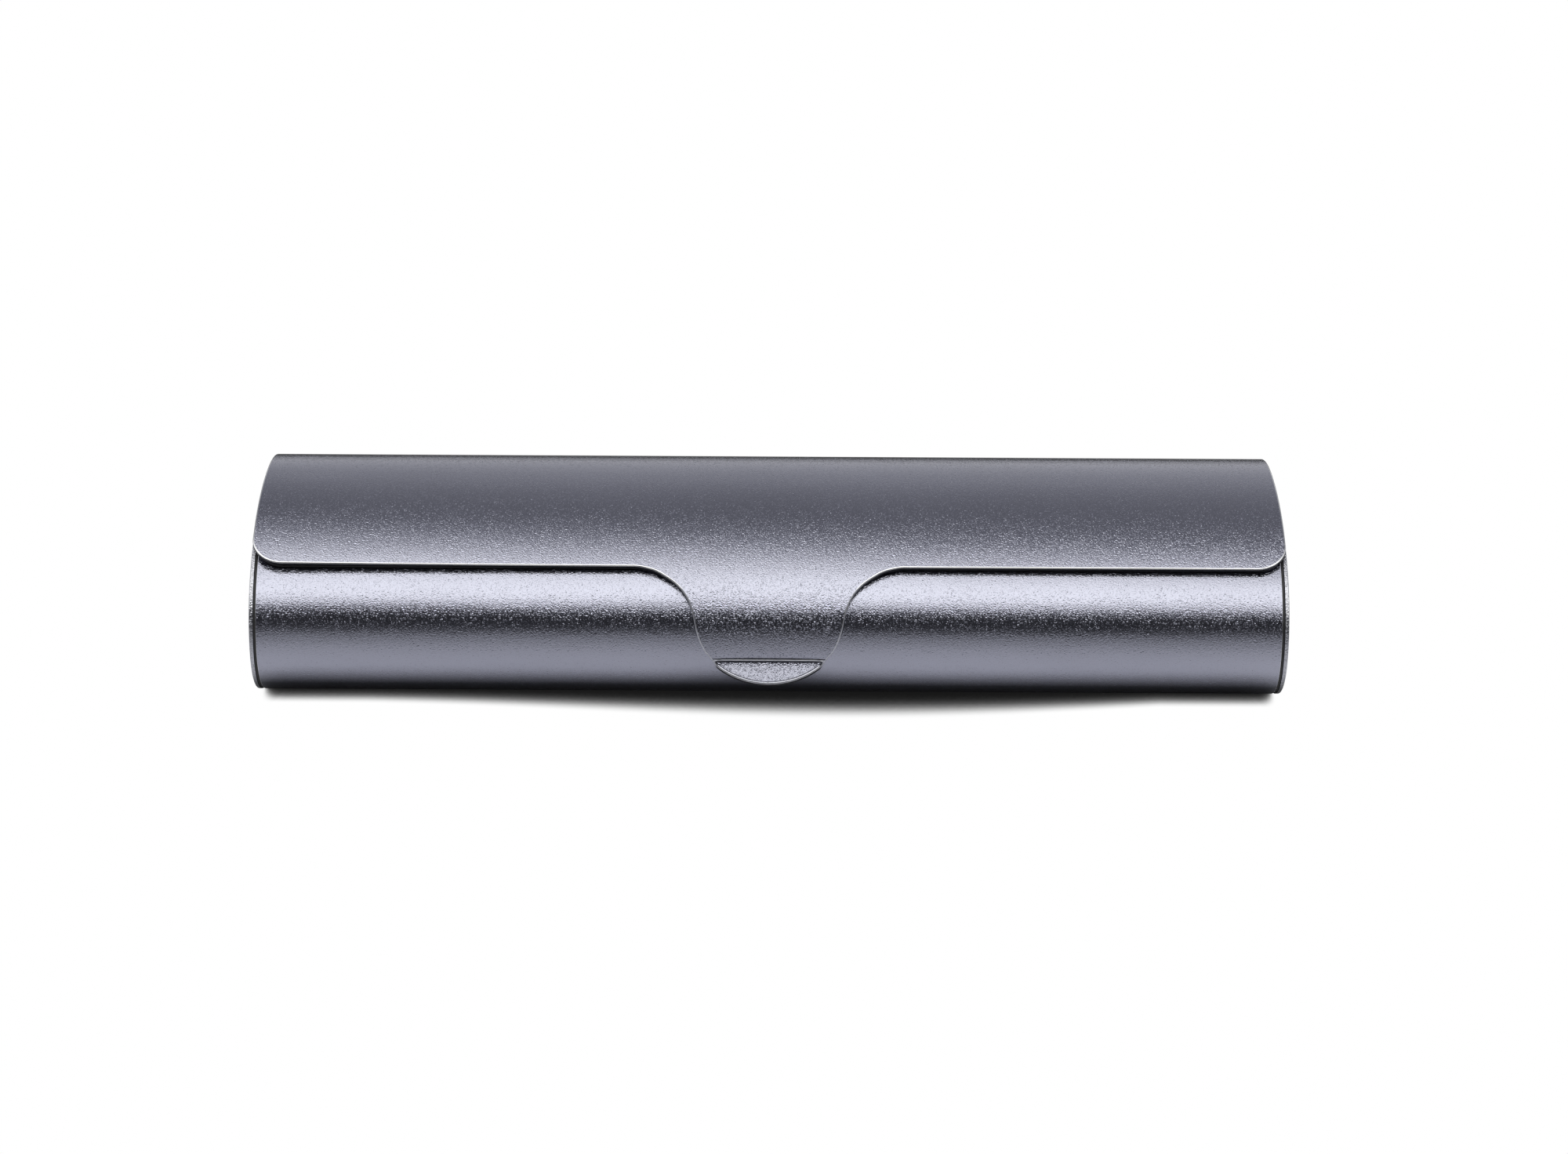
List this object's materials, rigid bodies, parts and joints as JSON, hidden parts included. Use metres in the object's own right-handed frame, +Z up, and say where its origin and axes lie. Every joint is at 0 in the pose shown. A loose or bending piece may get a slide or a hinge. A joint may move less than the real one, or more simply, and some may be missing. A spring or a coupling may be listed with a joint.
{
  "type": "hard eyeglasses case",
  "caption": "Slim oval hard case of rolled aluminium with a hinged lid, a tongue with a finger lip, and a soft lined hollow for folded glasses.",
  "frame": {"origin": "centre of the flat strip under the case, on the plane it rests on", "axes": "+X along the case, +Y towards the hinge at the back, +Z up; the tongue is on the -Y side"},
  "size_m": [0.16, 0.0606, 0.0318],
  "materials": {
    "case_aluminium": "bead-blasted and anodised gunmetal grey",
    "black_moulding": "moulded matt black",
    "liner_board": "black coated fibre board",
    "soft_lining": "short-pile black microfibre",
    "tongue_pad": "thin matt black rubber",
    "keeper_steel": "plain cold-rolled strip",
    "magnet_plating": "nickel plated",
    "hinge_steel": "satin nickel-plated steel",
    "rivet_aluminium": "satin"
  },
  "bodies": {
    "case_body": {"body_shell": "case_aluminium", "end_plate_left": "case_aluminium", "end_plate_right": "case_aluminium", "end_frame_left": "black_moulding", "end_frame_right": "black_moulding", "liner_tray": "black_moulding", "tray_lining": "soft_lining", "end_pad_left": "soft_lining", "end_pad_right": "soft_lining", "front_rail": "black_moulding", "catch_magnets": "magnet_plating", "hinge_leaf_body": "hinge_steel", "hinge_pin": "hinge_steel", "hinge_rivets_body": "rivet_aluminium"},
    "lid": {"lid_shell": "case_aluminium", "lid_liner_board": "liner_board", "lid_lining": "soft_lining", "hinge_leaf_lid": "hinge_steel", "hinge_rivets_lid": "rivet_aluminium", "tongue_keeper": "keeper_steel", "tongue_pad": "tongue_pad"}
  },
  "joints": [
    {"name": "lid_hinge", "type": "hinge", "parent": "case_body", "child": "lid", "pos_m": [0, 0.02578, 0.02197], "axis": [-1, 0, 0], "range_deg": [0, 115]}
  ]
}
